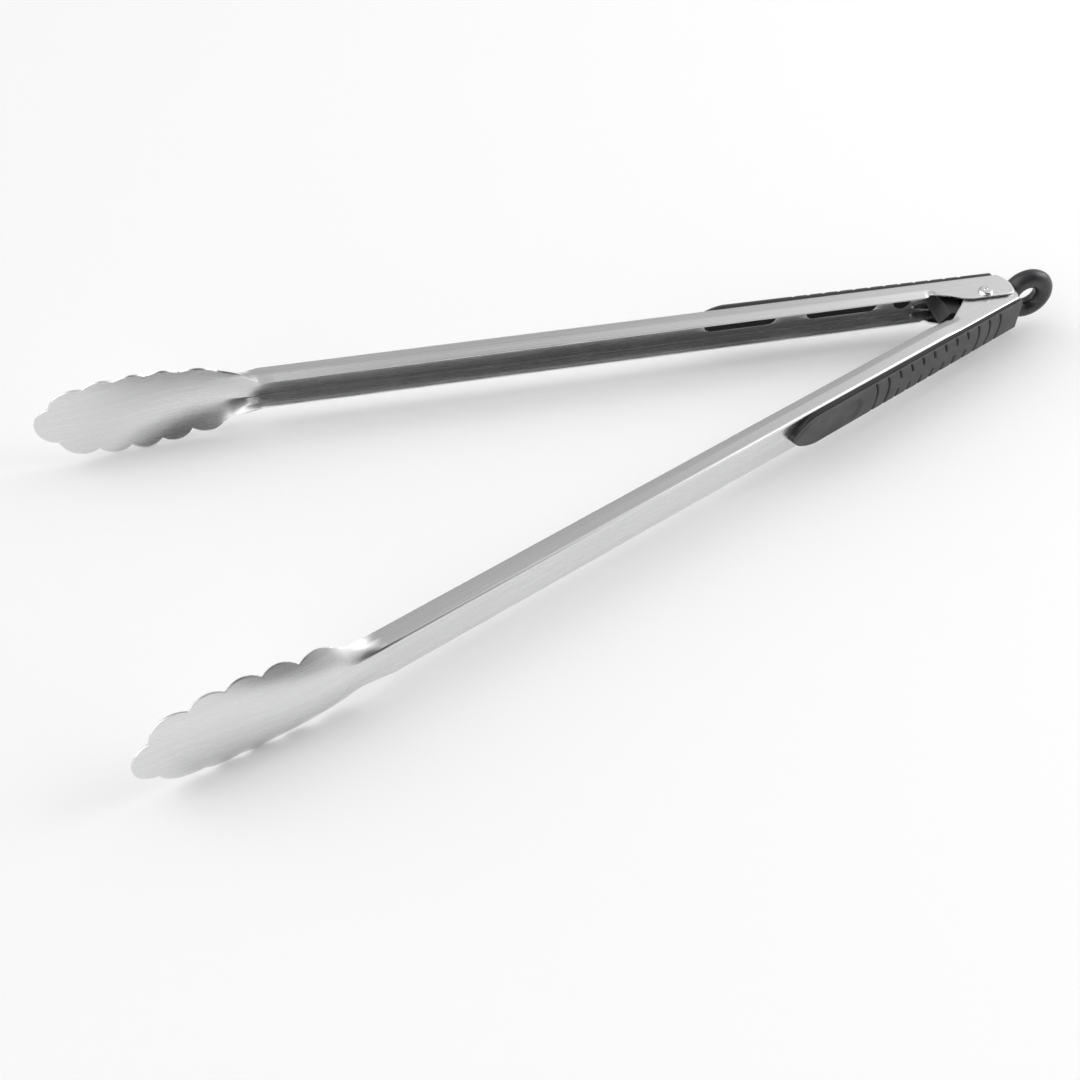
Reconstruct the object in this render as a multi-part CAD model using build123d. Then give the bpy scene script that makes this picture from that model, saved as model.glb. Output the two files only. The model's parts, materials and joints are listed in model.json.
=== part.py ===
from build123d import *

import os
from math import atan2, cos, degrees, radians, sin, sqrt, tan

# Spring-loaded kitchen tongs lying on their side, sprung open.
# An arm is drawn in its own frame: X = -a, where a runs from the pivot axis to the tip,
# Y = b, from the closing plane out to the arm's back, and Z along the pivot axis.
# The outer arm, whose ears lie outside, is turned to +Y and the inner arm is its mirror image.

# ---- driving dimensions (mm, degrees) ----
OPEN_HALF_ANGLE = 12.6      # each arm from the closing plane, sprung open
ARM_LENGTH = 382.0          # pivot axis to tip
CHANNEL_WIDTH = 15.0
SHEET = 0.7                 # stainless sheet
BACK_B = 10.6               # outer face of the back wall
LIP_B = 2.0                 # free edge of the turned lip
CREASE_B = 5.5              # where the wall turns inwards into the lip
LIP_TURN = 1.1              # how far the lip leans in at its free edge
BEND_RADIUS = 2.0
HEAD_START = 297.0          # end of the straight channel
NECK_END = 316.0            # the sheet is fully opened into a dish from here
BEND_START = 317.0          # the head's back line bends in from here
TIP_B = 0.2                 # outside of the sheet at the tip
EAR_GAP = 0.3              # between the ears of the two arms
GRIP_FRONT = 121.0
GRIP_REAR = -8.5
GRIP_WIDTH = 13.6
GRIP_NOSE = 14.0            # length of the tapered front end
CARRIER_B = (11.9, 13.0)    # outer face of the hard carrier at the grip's rear and front
PAD_B = (13.1, 14.3)        # outer face of the soft pad on it, likewise
RIVET_R = 2.0
RUNNING = 0.06              # radial running clearance
WIRE = 1.2                  # torsion spring
COIL_MEAN_R = 3.9
COIL_TURNS = 6
RING_R = 7.4                # to the middle of the ring's section
RING_TUBE_R = 3.9
EYE_R = 3.7                 # narrow land moulded in the eye
RING_A = -22.25             # ring centre, behind the pivot
RING_B = 4.75

# ---- worked out from them ----
HALF_W = CHANNEL_WIDTH / 2
INNER_FACE_B = BACK_B - SHEET
INNER_HALF_W = HALF_W - SHEET - EAR_GAP      # outside of the inner arm's ears
THROAT_HALF_W = INNER_HALF_W - SHEET         # clear half width between the inner ears
PIVOT_X = 169.489
PIVOT_Z = 18.013
FAR = 60.0                                   # cutters reach this far past the part


def smooth(t):
    """0 to 1 with level ends."""
    t = min(max(t, 0.0), 1.0)
    return t * t * (3 - 2 * t)


def along(a, b, z=0.0):
    """A point of the arm's own frame."""
    return Vector(-a, b, z)


def prism(face_wire, low, high):
    """The solid inside a closed outline drawn on the a-b plane, between two heights."""
    return extrude(Plane.XY.offset(low) * make_face(face_wire), high - low)


def plate_outline(points):
    return Polyline(*[(-a, b) for a, b in points], close=True)


# ---- the arm: channel, ears and head ----
def shifted(line, t):
    """Corners of a bent line of (b, z) points after moving it sideways by t, to its left."""
    moved = []
    for i, (b, z) in enumerate(line):
        b0, z0 = line[max(i - 1, 0)]
        b1, z1 = line[min(i + 1, len(line) - 1)]
        n0 = unit_left(b0, z0, b, z) if i else unit_left(b, z, b1, z1)
        n1 = unit_left(b, z, b1, z1) if i < len(line) - 1 else n0
        scale = t / (1 + n0[0] * n1[0] + n0[1] * n1[1])
        moved.append((b + scale * (n0[0] + n1[0]), z + scale * (n0[1] + n1[1])))
    return moved


def unit_left(b0, z0, b1, z1):
    size = sqrt((b1 - b0) ** 2 + (z1 - z0) ** 2)
    return -(z1 - z0) / size, (b1 - b0) / size


def folded_face(a, corner, crease, edge, radius):
    """Sheet folded from the back line through a rounded corner and a crease to its free edge."""
    half = [(corner[0], 0.0), corner, crease, edge]
    inner = shifted(half, SHEET)[1:]
    inner[-1] = (edge[0], inner[-1][1])
    outline = [edge, crease, corner] + [(b, -z) for b, z in (corner, crease, edge)]
    outline += [(b, -z) for b, z in reversed(inner)] + inner
    face = make_face(Polyline(*outline, close=True))
    for (b, z), size in ((corner, radius), (inner[0], radius - SHEET)):
        ends = [v for v in face.vertices() if abs(v.X - b) < 1e-4 and abs(abs(v.Y) - z) < 1e-4]
        face = fillet(ends, size)
    return Plane(origin=(-a, 0, 0), x_dir=(0, 1, 0), z_dir=(1, 0, 0)) * face


def channel_section(a, half_w):
    """Back wall, two side walls and their turned lips, cut across at a."""
    return folded_face(a, (BACK_B, half_w), (CREASE_B, half_w), (LIP_B, half_w - LIP_TURN), BEND_RADIUS)


def ear_section(a, half_w):
    """The channel without lips, its walls run on past the pivot."""
    t = SHEET
    reach = -4.0
    points = [(BACK_B, half_w), (reach, half_w), (reach, half_w - t), (BACK_B - t, half_w - t)]
    points += [(b, -z) for b, z in reversed(points)]
    face = make_face(Polyline(*points, close=True))
    face = fillet([v for v in face.vertices() if v.X > BACK_B - 0.1], BEND_RADIUS)
    corners = [v for v in face.vertices() if abs(v.X - (BACK_B - t)) < 0.01 and abs(v.Y) > half_w - t - 0.01]
    face = fillet(corners, BEND_RADIUS - t)
    return Plane(origin=(-a, 0, 0), x_dir=(0, 1, 0), z_dir=(1, 0, 0)) * face


def straight(section, a_near, a_far, half_w):
    return extrude(section(a_near, half_w), a_far - a_near, dir=(-1, 0, 0))


EAR_FRONT = 23.8
EAR_EDGE_B = -3.3
EAR_REAR = -12.6


def ear_profile():
    """Side view of an ear: slanted lip end, flare to the pivot boss and a round rear end."""
    pt = lambda a, b: (-a, b)
    front = Polyline(pt(EAR_FRONT, BACK_B + 1), pt(EAR_FRONT, LIP_B - 1.2), pt(21.4, 2.2))
    flare = Spline(pt(21.4, 2.2), pt(14.3, -0.5), pt(8.0, EAR_EDGE_B),
                   tangents=((1, -0.38), (1, 0)))
    edge = Line(pt(8.0, EAR_EDGE_B), pt(-8.6, EAR_EDGE_B))
    heel = Spline(pt(-8.6, EAR_EDGE_B), pt(-12.2, -1.2), pt(EAR_REAR, 2.8), pt(-11.2, 7.4), pt(-7.6, BACK_B + 1),
                  tangents=((1, 0), (-0.8, 1)))
    top = Line(pt(-7.6, BACK_B + 1), pt(EAR_FRONT, BACK_B + 1))
    return Wire([*front.edges(), *flare.edges(), *edge.edges(), *heel.edges(), *top.edges()])


def ears(half_w, hole_r):
    body = straight(ear_section, -16, EAR_FRONT, half_w) & prism(ear_profile(), -FAR, FAR)
    return body - Cylinder(hole_r, 2 * FAR)


def head_back(a):
    """The back line bends in from the channel's back to meet the other head at the tip."""
    return BACK_B - (BACK_B - TIP_B) * smooth((a - BEND_START) / (ARM_LENGTH + 3.0 - BEND_START))


def dish_curve(a):
    """How hard the dish is curved across: its depth at z is this times z squared."""
    return min(max(0.0300 - 0.00042 * (a - 310.0), 0.0085), 0.0300)


def head_opened(a):
    """0 where the sheet is still a channel, 1 where it is a dish."""
    t = min(max((a - HEAD_START) / (NECK_END - HEAD_START), 0.0), 1.0)
    return t * (2 - t)


def blend(p, q, k):
    return p[0] + (q[0] - p[0]) * k, p[1] + (q[1] - p[1]) * k


def head_section(a):
    """The uncut sheet across the head at a, part channel and part dish."""
    back, curve, k = head_back(a), dish_curve(a), head_opened(a)
    reach = 12.0 + 8.0 * smooth((a - 309.0) / 15.0)
    bend = 0.75 * reach
    depth = curve * bend ** 2
    corner = blend((BACK_B, HALF_W), (back, bend / 2), k)
    crease = blend((CREASE_B, HALF_W), (back - depth, bend), k)
    edge = blend((LIP_B, HALF_W - LIP_TURN), (back - depth - 2 * curve * bend * (reach - bend), reach), k)
    fold = atan2(back - crease[0], crease[1] - corner[1])
    most = 0.95 * min(corner[1], (back - crease[0]) / sin(fold)) / tan(fold / 2)
    return folded_face(a, (back, corner[1]), crease, edge, BEND_RADIUS + (most - BEND_RADIUS) * k)


HEAD_STATIONS = (301.0, 305.0, 309.0, 313.0, 318.0, 325.0, 334.0, 346.0, 358.0, 371.0, 384.0)
# Valleys between the scallops, from the tip lobe back to the neck: distance a and half width.
VALLEYS = ((375.0, 8.2), (361.3, 14.6), (349.3, 16.0), (337.5, 15.8), (325.7, 14.4), (313.0, 13.2))
LOBE_R = (9.9, 9.3, 9.3, 9.3, 11.6)


def head_outline():
    """Scalloped plan of the head, seen along b: a tip lobe and five lobes on each side."""
    edges = [ThreePointArc((-VALLEYS[0][0], VALLEYS[0][1]), (-ARM_LENGTH, 0), (-VALLEYS[0][0], -VALLEYS[0][1]))]
    for (a0, z0), (a1, z1), radius in zip(VALLEYS, VALLEYS[1:], LOBE_R):
        edges.append(RadiusArc((-a0, z0), (-a1, z1), radius))
        edges.append(RadiusArc((-a0, -z0), (-a1, -z1), -radius))
    a_end, z_end = VALLEYS[-1]
    neck = HEAD_START - 2
    for side in (1, -1):
        edges.append(Line((-a_end, side * z_end), (-a_end, side * 30)))
        edges.append(Line((-a_end, side * 30), (-neck, side * 30)))
    edges.append(Line((-neck, 30), (-neck, -30)))
    return Wire([e.edge() for e in edges])


def head():
    sections = [channel_section(HEAD_START, HALF_W)] + [head_section(a) for a in HEAD_STATIONS]
    plan = extrude(Plane.XZ.offset(FAR) * make_face(head_outline()), -2 * FAR)
    return loft(sections) & plan


SLOT_HALF_W = 3.3
LONG_SLOTS = ((42.0, 73.0), (86.0, 117.0))
STUD_A = 30.8
STUD_R = 4.0


def long_slot(a_near, a_far, grow=0.0):
    """Plan of one long slot in the back wall, drawn in a and z."""
    mid, span = (a_near + a_far) / 2, a_far - a_near
    return Pos(-mid, 0, 0) * SlotOverall(span + 2 * grow, 2 * (SLOT_HALF_W + grow))


def back_holes():
    """The two long slots and the round hole that the grip's studs fill."""
    plan = long_slot(*LONG_SLOTS[0]) + long_slot(*LONG_SLOTS[1]) + Pos(-STUD_A, 0, 0) * Circle(STUD_R)
    return extrude(Plane.XZ.offset(-BACK_B - 2) * plan, 6)


def arm(ear_half_w, hole_r):
    """One stamped arm: ears, a joggle where they are set in, the straight channel and the head."""
    joggle_near, joggle_far = EAR_FRONT, 38.0
    solid = ears(ear_half_w, hole_r)
    if ear_half_w < HALF_W:
        solid += loft([channel_section(joggle_near, ear_half_w), channel_section(joggle_far, HALF_W)], ruled=True)
        solid += straight(channel_section, joggle_far, HEAD_START, HALF_W)
    else:
        solid += straight(channel_section, joggle_near, HEAD_START, HALF_W)
    solid += head()
    return solid - back_holes()


# ---- grips: a hard carrier with studs through the back wall, and a soft pad on it ----
def grip_plan(inset):
    """Square rear end, tapered round front end, drawn in a and z."""
    half = GRIP_WIDTH / 2 - inset
    nose = GRIP_FRONT - GRIP_NOSE
    rear = GRIP_REAR + inset
    bar = Pos(-(nose + rear) / 2, 0, 0) * Rectangle(nose - rear, 2 * half)
    bar = fillet(bar.vertices().sort_by(Axis.X)[-2:], 1.2)
    return bar + Pos(-nose, 0, 0) * Ellipse(GRIP_NOSE - inset, half)


def b_extrude(plan, b_low, b_high):
    """A plan drawn in a and z, made solid between two values of b."""
    return extrude(Plane.XZ.offset(-b_low) * plan, -(b_high - b_low))


def grip_layer(inset, low, high):
    """The grip's plan made solid between two sloping faces, each given by its b at rear and front."""
    side = plate_outline([(GRIP_REAR, low[0]), (GRIP_FRONT, low[1]), (GRIP_FRONT, high[1]), (GRIP_REAR, high[0])])
    return b_extrude(grip_plan(inset), BACK_B - 1, PAD_B[1] + 1) & prism(side, -FAR, FAR)


def pad_face(a):
    """Outer face of the pad at a."""
    return PAD_B[0] + (PAD_B[1] - PAD_B[0]) * (a - GRIP_REAR) / (GRIP_FRONT - GRIP_REAR)


STUD_CLEAR = 0.1


def grip_carrier():
    body = grip_layer(0, (BACK_B, BACK_B), CARRIER_B)
    studs = long_slot(*LONG_SLOTS[0], -STUD_CLEAR) + long_slot(*LONG_SLOTS[1], -STUD_CLEAR)
    studs += Pos(-STUD_A, 0, 0) * Circle(STUD_R - STUD_CLEAR)
    return body + b_extrude(studs, INNER_FACE_B, BACK_B)


GROOVE_FIRST, GROOVE_LAST, GROOVE_COUNT = 78.5, 6.0, 12
GROOVE_WIDTH, GROOVE_DEPTH, GROOVE_BOW_R = 0.8, 0.55, 12.5
FULL_GROOVES = (0, 1, 9, 10, 11)
PLAIN_HALF_W = 2.4          # the middle grooves leave a plain band along the pad


def groove_a(index):
    """Where groove number index crosses the middle of the pad."""
    return GROOVE_FIRST + (GROOVE_LAST - GROOVE_FIRST) * index / (GROOVE_COUNT - 1)


def pad_groove(index):
    centre = groove_a(index) + GROOVE_BOW_R - 1.8
    ring = Circle(GROOVE_BOW_R + GROOVE_WIDTH / 2) - Circle(GROOVE_BOW_R - GROOVE_WIDTH / 2)
    window = Pos(GROOVE_BOW_R, 0, 0) * Rectangle(12, GRIP_WIDTH + 2)
    if index not in FULL_GROOVES:
        window -= Pos(GROOVE_BOW_R, 0, 0) * Rectangle(14, 2 * PLAIN_HALF_W)
    return Pos(-centre, 0, 0) * (ring & window)


SCOOP_A, SCOOP_LENGTH, SCOOP_WIDTH, SCOOP_DEPTH = 101.0, 34.0, 10.6, 0.4


def grip_pad():
    """Soft pad with a thumb scoop in front and curved grooves behind it."""
    pad = grip_layer(0.1, CARRIER_B, PAD_B)
    pad = fillet(pad.faces().sort_by(Axis.Y)[-1].edges(), 0.5)
    for index in range(GROOVE_COUNT):
        pad -= b_extrude(pad_groove(index), pad_face(groove_a(index)) - GROOVE_DEPTH, PAD_B[1] + 1)
    scoop = Pos(-SCOOP_A, 0, 0) * SlotOverall(SCOOP_LENGTH, SCOOP_WIDTH)
    return pad - b_extrude(scoop, pad_face(SCOOP_A) - SCOOP_DEPTH, PAD_B[1] + 1)


# ---- pivot ----
HEAD_R, HEAD_H = 3.0, 1.2


def rivet():
    """Tubular rivet: a plain shank with a rounded, dimpled head formed at each end."""
    shank = Cylinder(RIVET_R, 2 * HALF_W)
    for side in (1, -1):
        cap = Pos(0, 0, side * (HALF_W + HEAD_H / 2)) * Cylinder(HEAD_R, HEAD_H)
        outer_rim = cap.edges().filter_by(GeomType.CIRCLE).sort_by(Axis.Z)[-1 if side > 0 else 0]
        cap = fillet([outer_rim], 0.9)
        cap -= Pos(0, 0, side * (HALF_W + HEAD_H + 1.2)) * Sphere(1.6)
        shank += cap
    return shank


BUSH_R = 2.9


def bush():
    """Sleeve on the rivet that the coil sits round."""
    length = 2 * (THROAT_HALF_W - 0.25)
    return Cylinder(BUSH_R, length) - Cylinder(RIVET_R + RUNNING, length)


COIL_Z = 4.6                # the coil's end turns above and below the mid plane
LEG_ROOT = 0.35             # a leg starts this far back inside the coil's end
LEG_END_A = 25.0
LEG_END_B = INNER_FACE_B - WIRE / 2 - 0.1


def spring():
    """Torsion spring at rest, in the pivot's frame: a coil round the bush and a leg along each back wall."""
    half = radians(OPEN_HALF_ANGLE)
    end_x = LEG_END_B * sin(half) - LEG_END_A * cos(half)
    end_y = LEG_END_B * cos(half) + LEG_END_A * sin(half)
    reach = sqrt(end_x ** 2 + end_y ** 2)
    leg_length = sqrt(reach ** 2 - COIL_MEAN_R ** 2)
    leg_angle = degrees(atan2(end_y, end_x) + atan2(COIL_MEAN_R, leg_length))
    start_angle = leg_angle - 90
    turns = COIL_TURNS + 2 * start_angle / 360
    pitch = 2 * COIL_Z / turns
    path = Helix(pitch, 2 * COIL_Z, COIL_MEAN_R, lefthand=True)
    coil = sweep(Plane(origin=path @ 0, z_dir=path % 0) * Circle(WIRE / 2), path, is_frenet=True)
    wire = Rot(0, 0, start_angle) * Pos(0, 0, -COIL_Z) * coil
    for side in (1, -1):
        leave = Pos(COIL_MEAN_R * cos(radians(start_angle)), side * COIL_MEAN_R * sin(radians(start_angle)),
                    -side * COIL_Z)
        drawn = Cylinder(WIRE / 2 - 0.04, leg_length + LEG_ROOT)
        leg = Rot(0, 0, side * leg_angle) * Rot(0, 90, 0) * Pos(0, 0, (leg_length - LEG_ROOT) / 2) * drawn
        wire += leave * leg
    return wire


# ---- lock: a slide in the outer arm's throat, pulled by a soft ring ----
TONGUE_HALF_H, NOSE_HALF_H = 3.6, 4.85
TONGUE_B = (5.0, INNER_FACE_B - 0.4)
TAIL_HALF_H, TAIL_HALF_T, TAIL_END = 2.6, 1.5, -18.0
NOSE_BACK, NOSE_SHOULDER, NOSE_FRONT = 12.0, 18.0, 21.5
NOSE_REACH = -7.8


def a_z_prism(points, b_low, b_high):
    """An outline of (a, z) points made solid between two values of b."""
    return b_extrude(make_face(Polyline(*[(-a, z) for a, z in points], close=True)), b_low, b_high)


def lock_slide():
    """Tongue beside the pivot, wedge nose across the throat, and a tail inside the ring."""
    tongue = a_z_prism([(-13.5, 2.6), (-8, TONGUE_HALF_H), (NOSE_BACK + 1, TONGUE_HALF_H),
                        (NOSE_BACK + 1, -TONGUE_HALF_H), (-8, -TONGUE_HALF_H), (-13.5, -2.6)], *TONGUE_B)
    nose = a_z_prism([(NOSE_BACK, NOSE_HALF_H), (NOSE_SHOULDER, NOSE_HALF_H), (NOSE_FRONT, 0.8),
                      (NOSE_FRONT, -0.8), (NOSE_SHOULDER, -NOSE_HALF_H), (NOSE_BACK, -NOSE_HALF_H)],
                     NOSE_REACH, TONGUE_B[1])
    nose = fillet(nose.edges().filter_by(Axis.Y), 0.4)
    shoulder = plate_outline([(NOSE_BACK - 1, NOSE_REACH - 1), (NOSE_SHOULDER - 1, NOSE_REACH - 1), (NOSE_BACK - 1, -3.5)])
    nose -= prism(shoulder, -FAR, FAR)
    leg_way = plate_outline([(NOSE_BACK - 1, 3.9), (NOSE_FRONT + 1, 3.9), (NOSE_FRONT + 1, BACK_B), (NOSE_BACK - 1, BACK_B)])
    nose -= prism(leg_way, -FAR, -TONGUE_HALF_H)
    tail = a_z_prism([(TAIL_END, TAIL_HALF_H), (-7.5, TAIL_HALF_H), (-7.5, -TAIL_HALF_H), (TAIL_END, -TAIL_HALF_H)],
                     RING_B - TAIL_HALF_T, RING_B + TAIL_HALF_T)
    return tongue + nose + tail


def pull_ring():
    """Soft ring moulded round the slide's tail; its eye has a narrow straight land."""
    centre = Pos(-RING_A, RING_B, 0)
    ring = centre * Rot(90, 0, 0) * Torus(RING_R, RING_TUBE_R)
    ring -= centre * Rot(90, 0, 0) * Cylinder(EYE_R, 4 * RING_TUBE_R)
    return ring - lock_slide()


# ---- place each piece and write it ----
PIVOT = Pos(PIVOT_X, 0, PIVOT_Z)
OUTER = PIVOT * Rot(0, 0, -OPEN_HALF_ANGLE)
INNER = PIVOT * Rot(0, 0, OPEN_HALF_ANGLE)


def pieces():
    across = Plane.XZ
    parts = {
        "outer_arm": OUTER * arm(HALF_W, RIVET_R),
        "inner_arm": INNER * mirror(arm(INNER_HALF_W, RIVET_R + RUNNING), across),
        "outer_grip_carrier": OUTER * grip_carrier(),
        "inner_grip_carrier": INNER * mirror(grip_carrier(), across),
        "outer_grip_pad": OUTER * grip_pad(),
        "inner_grip_pad": INNER * mirror(grip_pad(), across),
        "pivot_rivet": PIVOT * rivet(),
        "pivot_bush": PIVOT * bush(),
        "torsion_spring": PIVOT * spring(),
        "lock_slide": OUTER * lock_slide(),
        "pull_ring": OUTER * pull_ring(),
    }
    return parts


os.makedirs("parts", exist_ok=True)
built = pieces()
for name, piece in built.items():
    export_step(piece, f"parts/{name}.step")
box = Compound(children=list(built.values())).bounding_box()
print("box centre x %.3f, lowest z %.3f, size %.2f x %.2f x %.2f"
      % ((box.min.X + box.max.X) / 2, box.min.Z, box.size.X, box.size.Y, box.size.Z))
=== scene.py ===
import json
from math import asin, atan2, cos, pi, radians, sin, sqrt

import bmesh
import bpy
from bpy.props import FloatProperty, FloatVectorProperty, IntProperty, PointerProperty
from mathutils import Matrix, Quaternion, Vector


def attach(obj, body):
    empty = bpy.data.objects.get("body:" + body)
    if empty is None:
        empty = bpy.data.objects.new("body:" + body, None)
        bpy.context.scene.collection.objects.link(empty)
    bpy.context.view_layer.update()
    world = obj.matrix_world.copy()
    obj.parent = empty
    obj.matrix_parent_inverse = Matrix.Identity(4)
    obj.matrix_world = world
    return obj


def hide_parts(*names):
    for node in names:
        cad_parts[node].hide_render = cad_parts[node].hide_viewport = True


bl_info = {
    "name": "Spring kitchen tongs",
    "version": (1, 0, 0),
    "blender": (4, 5, 0),
    "location": "View3D > Sidebar > Tongs",
    "description": "Builds the looks of a pair of stamped steel kitchen tongs round their frame",
    "category": "Object",
}

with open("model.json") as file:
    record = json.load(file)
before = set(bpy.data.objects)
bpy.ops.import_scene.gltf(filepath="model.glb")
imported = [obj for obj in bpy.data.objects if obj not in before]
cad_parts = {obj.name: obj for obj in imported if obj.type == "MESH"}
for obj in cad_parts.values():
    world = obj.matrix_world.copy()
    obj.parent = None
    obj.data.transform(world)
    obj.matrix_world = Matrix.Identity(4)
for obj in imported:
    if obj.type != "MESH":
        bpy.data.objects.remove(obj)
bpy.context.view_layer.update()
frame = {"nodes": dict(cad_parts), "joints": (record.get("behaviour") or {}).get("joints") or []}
HINGE = next(j for j in frame["joints"] if j["type"] == "hinge")
SLIDE = next(j for j in frame["joints"] if j["type"] == "slide")
PIVOT = Vector(HINGE["pos_m"])
HALF_ANGLE = atan2(-SLIDE["axis"][1], SLIDE["axis"][0])

# Outputs of a Texture Coordinate node, and a length that counts as none.
GENERATED, OBJECT = 0, 3
TINY = 1e-7


def arm_matrix(out):
    """From arm space to the frame. out is 1 for the outer arm and -1 for the inner.

    Arm space: x = a, from the pivot to the tip; y = b, from the closing plane out to the
    arm's back; z along the pivot.
    """
    c, s = cos(HALF_ANGLE), sin(HALF_ANGLE)
    turn = Matrix(((-c, s, 0, 0), (out * s, out * c, 0, 0), (0, 0, 1, 0), (0, 0, 0, 1)))
    return Matrix.Translation(PIVOT) @ turn


SIDES = {"outer": arm_matrix(1), "inner": arm_matrix(-1)}


def length(name, about, default):
    return FloatProperty(name=name, description=about, default=default, unit="LENGTH", precision=5)


def shade(name, about, default):
    return FloatVectorProperty(name=name, description=about, default=default, size=3,
                               subtype="COLOR", min=0, max=1)


def factor(name, about, default):
    return FloatProperty(name=name, description=about, default=default, subtype="FACTOR", min=0, max=1)


def angle(name, about, degrees):
    return FloatProperty(name=name, description=about, default=radians(degrees), subtype="ANGLE")


# ---- sizes and colours that a user would change ----
class ArmSizes(bpy.types.PropertyGroup):
    width: length("Channel width", "Across the side walls", 0.015)
    sheet: length("Sheet", "Thickness of the stainless sheet", 0.0007)
    back: length("Back", "Outer face of the back wall from the closing plane", 0.0106)
    crease: length("Crease", "Where a side wall turns into its lip", 0.0055)
    lip: length("Lip", "Free edge of the lip from the closing plane", 0.0020)
    lip_turn: length("Lip turn", "How far the lip leans in", 0.0011)
    bend: length("Bend", "Outside radius of the back's long corners", 0.0010)
    ear_gap: length("Ear gap", "Clearance between the two arms' ears", 0.0003)
    head_start: length("Head start", "End of the straight channel", 0.297)
    neck_end: length("Neck end", "The sheet is fully opened from here", 0.316)
    bend_start: length("Bend start", "The back line turns in from here", 0.317)
    reach: length("Length", "Pivot axis to tip", 0.38195)
    tip: length("Tip", "Outside of the sheet at the tip, from the closing plane", 0.0002)


class GripSizes(bpy.types.PropertyGroup):
    rear: length("Rear", "Rear end, behind the pivot", -0.0085)
    front: length("Front", "Front end", 0.121)
    width: length("Width", "Across the grip", 0.0136)
    nose: length("Nose", "Length of the tapered front end", 0.0125)
    carrier_rear: length("Carrier rear", "Outer face of the carrier at its rear end", 0.0119)
    carrier_front: length("Carrier front", "Outer face of the carrier at its front end", 0.0130)
    pad_rear: length("Pad rear", "Outer face of the pad at its rear end", 0.0131)
    pad_front: length("Pad front", "Outer face of the pad at its front end", 0.0143)
    rounding: length("Rounding", "Radius of the pad's edges", 0.0006)
    groove_width: length("Groove width", "Across a groove", 0.0013)
    groove_depth: length("Groove depth", "Into the pad", 0.0010)
    groove_bow: length("Groove bow", "Radius of the curved grooves", 0.0125)
    plain_half: length("Plain band", "Half width of the plain band along the pad", 0.0024)
    scoop_depth: length("Scoop depth", "Thumb scoop into the pad", 0.0010)
    grooves: IntProperty(name="Grooves", description="Number of curved grooves", default=12, min=2, max=30)


class PivotSizes(bpy.types.PropertyGroup):
    rivet_head: length("Rivet head", "Radius of the formed head", 0.0030)
    rivet_height: length("Rivet height", "Height of the formed head", 0.0012)
    rivet_shank: length("Rivet shank", "Radius of the shank", 0.0020)
    dimple: length("Dimple", "Radius of the dimple's ball", 0.0016)
    wire: length("Spring wire", "Diameter of the spring's wire", 0.0012)
    coil: length("Coil", "Radius to the middle of the wire", 0.0039)
    coil_half: length("Coil half height", "Mid plane to the end turns", 0.0046)
    ring: length("Ring", "Radius to the middle of the ring's section", 0.0074)
    tube: length("Ring tube", "Radius of the ring's section", 0.0039)
    eye: length("Eye", "Radius of the ring's eye", 0.0037)
    ring_a: length("Ring place", "Ring's centre along the arm", -0.02225)
    ring_b: length("Ring height", "Ring's centre from the closing plane", 0.00475)


class Finishes(bpy.types.PropertyGroup):
    steel: shade("Steel", "Stainless sheet", (0.76, 0.76, 0.765))
    steel_shade: shade("Steel streaks", "Darker streaks of the brushing", (0.715, 0.715, 0.72))
    rivet: shade("Rivet", "Formed rivet", (0.74, 0.74, 0.75))
    wire: shade("Wire", "Spring wire and sleeve", (0.55, 0.55, 0.57))
    carrier: shade("Carrier", "Hard moulded carrier", (0.012, 0.012, 0.013))
    pad: shade("Pad", "Soft pad", (0.060, 0.060, 0.062))
    slide: shade("Slide", "Moulded lock slide", (0.010, 0.010, 0.011))
    ring: shade("Ring", "Soft pull ring", (0.022, 0.022, 0.024))
    floor: shade("Floor", "Pale floor", (0.93, 0.93, 0.93))
    steel_rough: factor("Steel roughness", "Roughness of the brushed sheet", 0.27)


class StageSettings(bpy.types.PropertyGroup):
    azimuth: angle("Azimuth", "Camera's turn round the tongs", -24.47)
    elevation: angle("Elevation", "Camera's height above the horizon", 47.05)
    roll: angle("Roll", "Camera's tilt", 0.32)
    eye: FloatVectorProperty(name="Camera place", description="Camera from the pivot", size=3,
                             subtype="TRANSLATION", default=(-0.3538, -0.3352, 0.3408))
    lens: FloatProperty(name="Lens", description="Focal length in millimetres", default=44.6, unit="CAMERA")
    floor: length("Floor", "Side of the floor", 12.0)


GROUPS = (("tongs_arm", ArmSizes), ("tongs_grip", GripSizes), ("tongs_pivot", PivotSizes),
          ("tongs_finish", Finishes), ("tongs_stage", StageSettings))


def sizes(name):
    return getattr(bpy.context.scene, name)


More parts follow.
